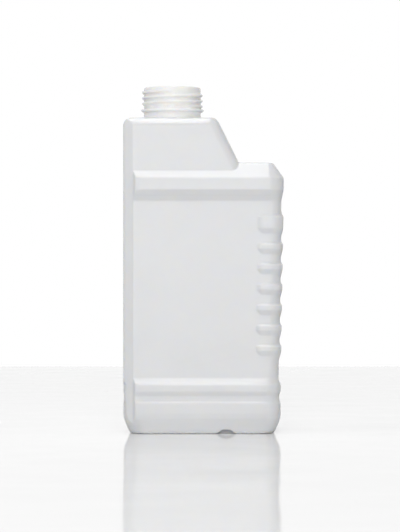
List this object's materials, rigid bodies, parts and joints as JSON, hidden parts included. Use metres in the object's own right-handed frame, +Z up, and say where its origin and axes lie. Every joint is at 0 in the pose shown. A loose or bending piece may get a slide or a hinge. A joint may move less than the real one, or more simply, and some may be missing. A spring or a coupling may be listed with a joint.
{
  "type": "plastic jerrycan",
  "caption": "Flat one-litre blow-moulded jerrycan with an offset threaded neck, a sloped shoulder, a recessed label panel and grip pads down one side.",
  "frame": {"origin": "on the table under the middle of the bottle's bounding box", "axes": "+X from the flush side to the grip side, +Y to the back, +Z up along the neck"},
  "size_m": [0.0982, 0.062, 0.2127],
  "materials": {
    "polyethylene": "milky natural polyethylene, satin, slightly translucent"
  },
  "bodies": {
    "root": {"bottle": "polyethylene"}
  },
  "joints": []
}
